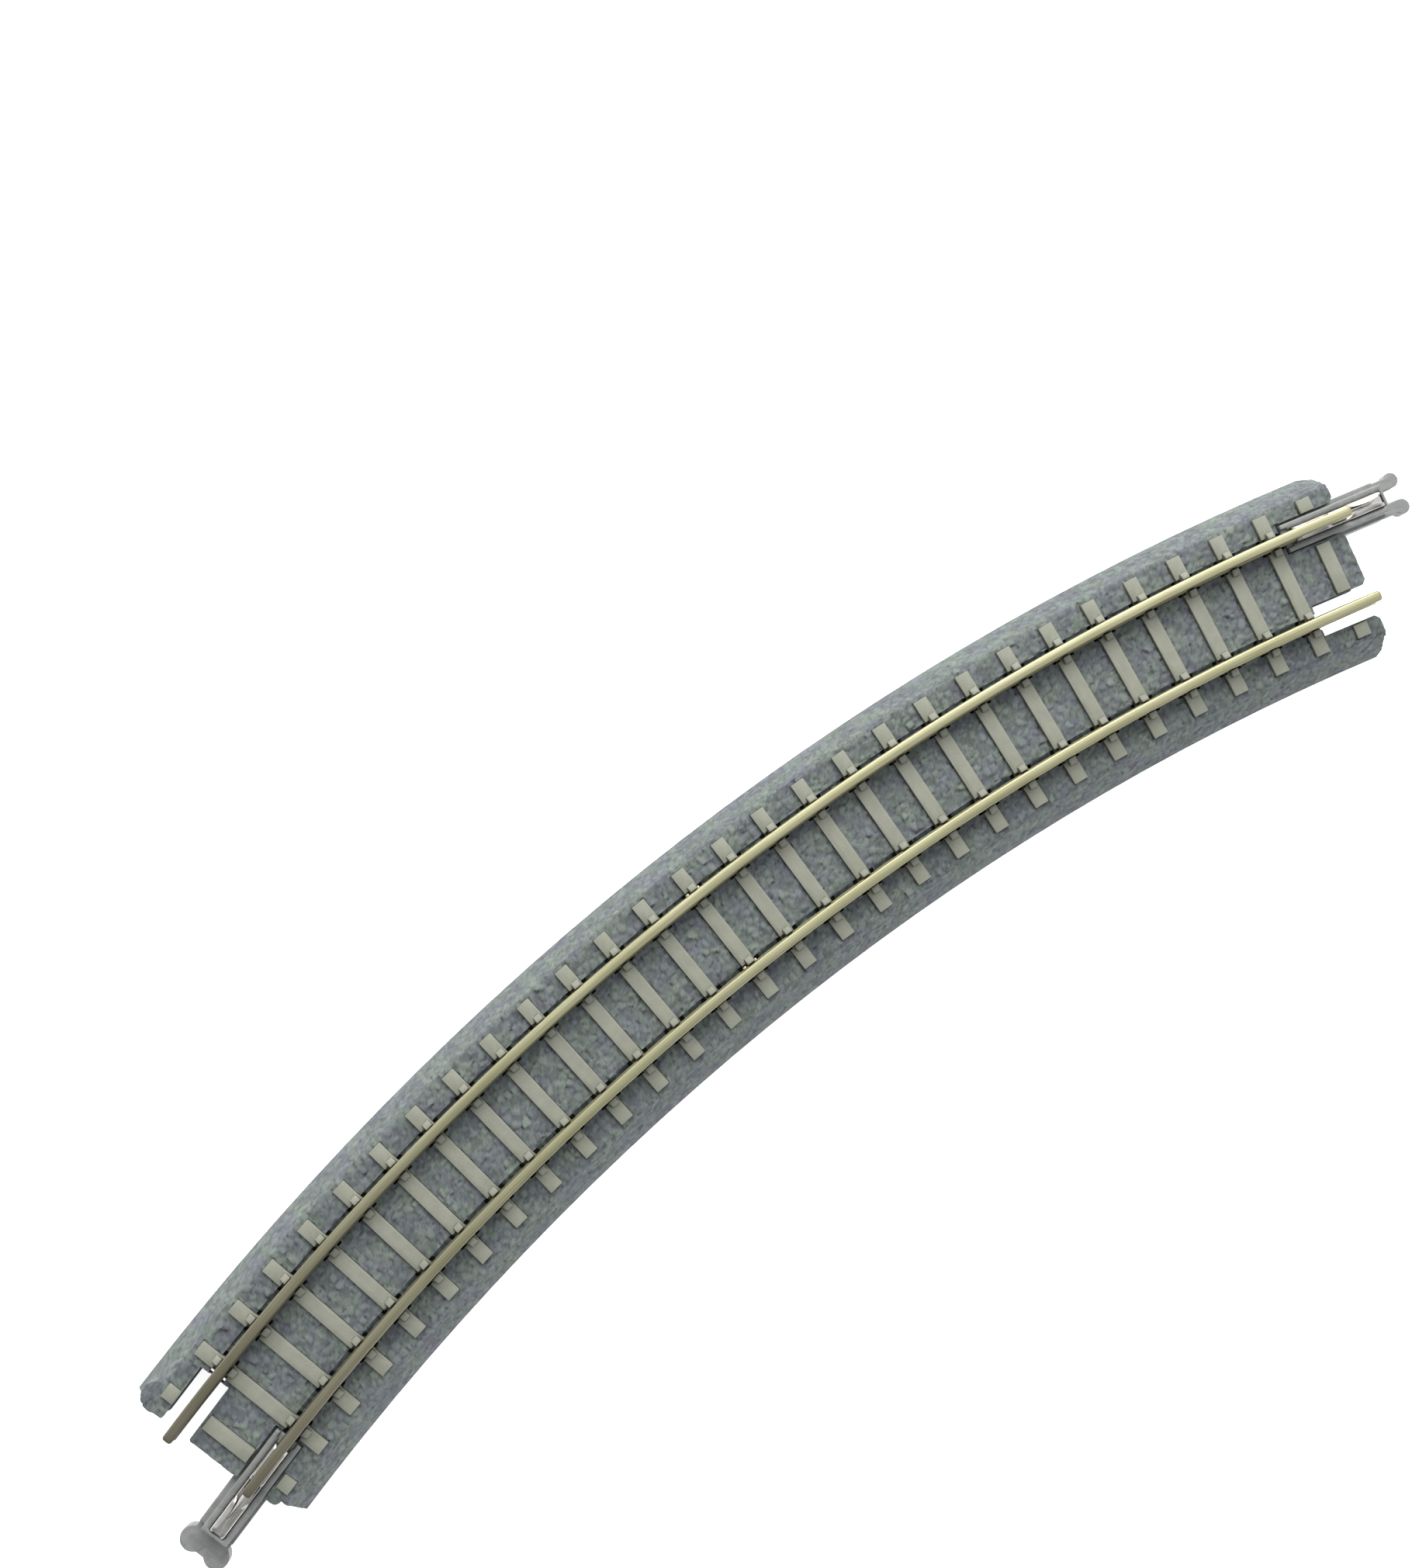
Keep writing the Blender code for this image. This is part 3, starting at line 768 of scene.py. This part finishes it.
def ribbon(line, thick):
    """A closed section of this thickness around an open line."""
    outer = []
    inner = []
    for index, (a, z) in enumerate(line):
        before = line[max(index - 1, 0)]
        after = line[min(index + 1, len(line) - 1)]
        run = (after[0] - before[0], after[1] - before[1])
        size = math.hypot(*run)
        side = (-run[1] / size * thick / 2, run[0] / size * thick / 2)
        outer.append((a + side[0], z + side[1]))
        inner.append((a - side[0], z - side[1]))
    return outer + inner[::-1]


def build_clip(node, side, rail, body, look):
    """The folded channel: its lips close over the rail's foot, and are cut away at the waist.

    A narrow tongue pressed up from the base rises past the rail's tip.
    """
    stations = []
    steps = 90
    start, stop = -3.9, 4.05
    for step in range(steps + 1):
        along = start + (stop - start) * step / steps
        bulge = 0.0
        for first, last in ((-3.9, -0.7), (0.95, 4.05)):
            if first <= along <= last:
                part = (along - first) / (last - first)
                bulge = math.sin(math.pi * part) ** 0.5
        wall = 0.3 + 0.3 * min(1.0, bulge * 1.6)
        lip = 0.06 + 0.32 * bulge
        fall = 0.03 + 0.13 * bulge
        right = clip_section(lip, fall, wall, CLIP_SHEET)
        line = [(-a, z) for a, z in reversed(right[1:])] + right
        section = ribbon(line, CLIP_SHEET)
        stations.append([past_end(side, along, rail + a, z) for a, z in section])
    made = object_from(node + "_folded", *loft(stations))

    tip = 0.95 if rail > 0 else 0.3
    rings = []
    for along, half, top in ((tip, 0.1, 3.84), (tip + 0.3, 0.16, 3.93), (tip + 1.2, 0.15, 4.14),
                             (tip + 2.1, 0.1, 4.34), (tip + 2.3, 0.05, 4.33)):
        left = [(-half, 3.76), (-half, top - 0.05), (-half * 0.5, top)]
        ring = left + [(-a, z) for a, z in reversed(left)]
        rings.append([past_end(side, along, rail + 0.1 + a, z) for a, z in ring])
    boolean(made, object_from("tongue", *loft(rings)), "UNION")
    smooth(made, 50)
    finish_piece(made, look, body, "spring_metal", node)


# ---------------------------------------------------------------- stage, lights, camera


FLOOR_HEIGHT = -2e-5
KEY_PLACE = (0.27, 0.36, 0.42)
KEY_SIZE = 0.5
KEY_POWER = 4.4
CAMERA_PLACE = (-11.455, 1.659, 163.622)
CAMERA_TURN = (5.806, -2.526, -37.962)
CAMERA_LENS = 46.83


def area_light(name, place, target, size, power, color):
    data = bpy.data.lights.new(name, "AREA")
    data.shape = "DISK"
    data.size = size
    data.energy = power
    data.color = color
    made = bpy.data.objects.new(name, data)
    SCENE.collection.objects.link(made)
    made.location = place
    made.rotation_euler = (Vector(target) - Vector(place)).to_track_quat("-Z", "Y").to_euler()
    return made


def build_stage():
    corners = [(x, y, FLOOR_HEIGHT) for x, y in ((-3, -3), (3, -3), (3, 3), (-3, 3))]
    floor = object_from("floor", corners, [[0, 1, 2, 3]], recalc=False)
    look = Look("pale_floor", 0.9, specular=0.2)
    look.shader.inputs["Base Color"].default_value = (0.92, 0.92, 0.92, 1.0)
    look.shader.inputs["Emission Color"].default_value = (1.0, 1.0, 1.0, 1.0)
    look.shader.inputs["Emission Strength"].default_value = 0.8
    floor.data.materials.append(look.material)

    world = bpy.data.worlds.new("studio")
    SCENE.world = world
    world.use_nodes = True
    tree = world.node_tree
    background = tree.nodes["Background"]
    background.inputs["Color"].default_value = (0.97, 0.985, 1.0, 1.0)
    direction = tree.nodes.new("ShaderNodeTexCoord")
    facing = tree.nodes.new("ShaderNodeVectorMath")
    facing.operation = "DOT_PRODUCT"
    facing.inputs[1].default_value = (0.85, 0.5, 0.0)
    strength = tree.nodes.new("ShaderNodeMapRange")
    strength.interpolation_type = "SMOOTHSTEP"
    strength.inputs["From Min"].default_value = -0.36
    strength.inputs["From Max"].default_value = 0.02
    strength.inputs["To Min"].default_value = 0.42
    strength.inputs["To Max"].default_value = 1.18
    tree.links.new(direction.outputs["Generated"], facing.inputs[0])
    tree.links.new(facing.outputs["Value"], strength.inputs["Value"])
    tree.links.new(strength.outputs["Result"], background.inputs["Strength"])

    middle = (0.0, -0.004, 0.002)
    area_light("key", KEY_PLACE, middle, KEY_SIZE, KEY_POWER, (1.0, 0.985, 0.95))
    SCENE.view_settings.view_transform = "Standard"


def build_camera():
    data = bpy.data.cameras.new("camera")
    data.sensor_width = 36.0
    data.lens = CAMERA_LENS
    data.clip_start = 0.005
    data.clip_end = 10.0
    camera = bpy.data.objects.new("camera", data)
    SCENE.collection.objects.link(camera)
    camera.location = Vector(CAMERA_PLACE) * MM
    camera.rotation_euler = [math.radians(turn) for turn in CAMERA_TURN]
    SCENE.camera = camera


def main():
    build_camera()
    build_stage()
    build_roadbed(ballast_look())
    build_sleepers(sleeper_look())
    rail = rail_look()
    build_rail("rail_outer", RAIL_OFFSET, OUTER_RAIL_PAST, rail)
    build_rail("rail_inner", -RAIL_OFFSET, INNER_RAIL_PAST, rail)
    plastic = housing_look()
    build_housing("joiner_left_housing", -1, -RAIL_OFFSET, "joiner_left", plastic)
    build_housing("joiner_right_housing", 1, RAIL_OFFSET, "joiner_right", plastic)
    metal = clip_look()
    build_clip("joiner_left_clip", -1, -RAIL_OFFSET, "joiner_left", metal)
    build_clip("joiner_right_clip", 1, RAIL_OFFSET, "joiner_right", metal)


main()
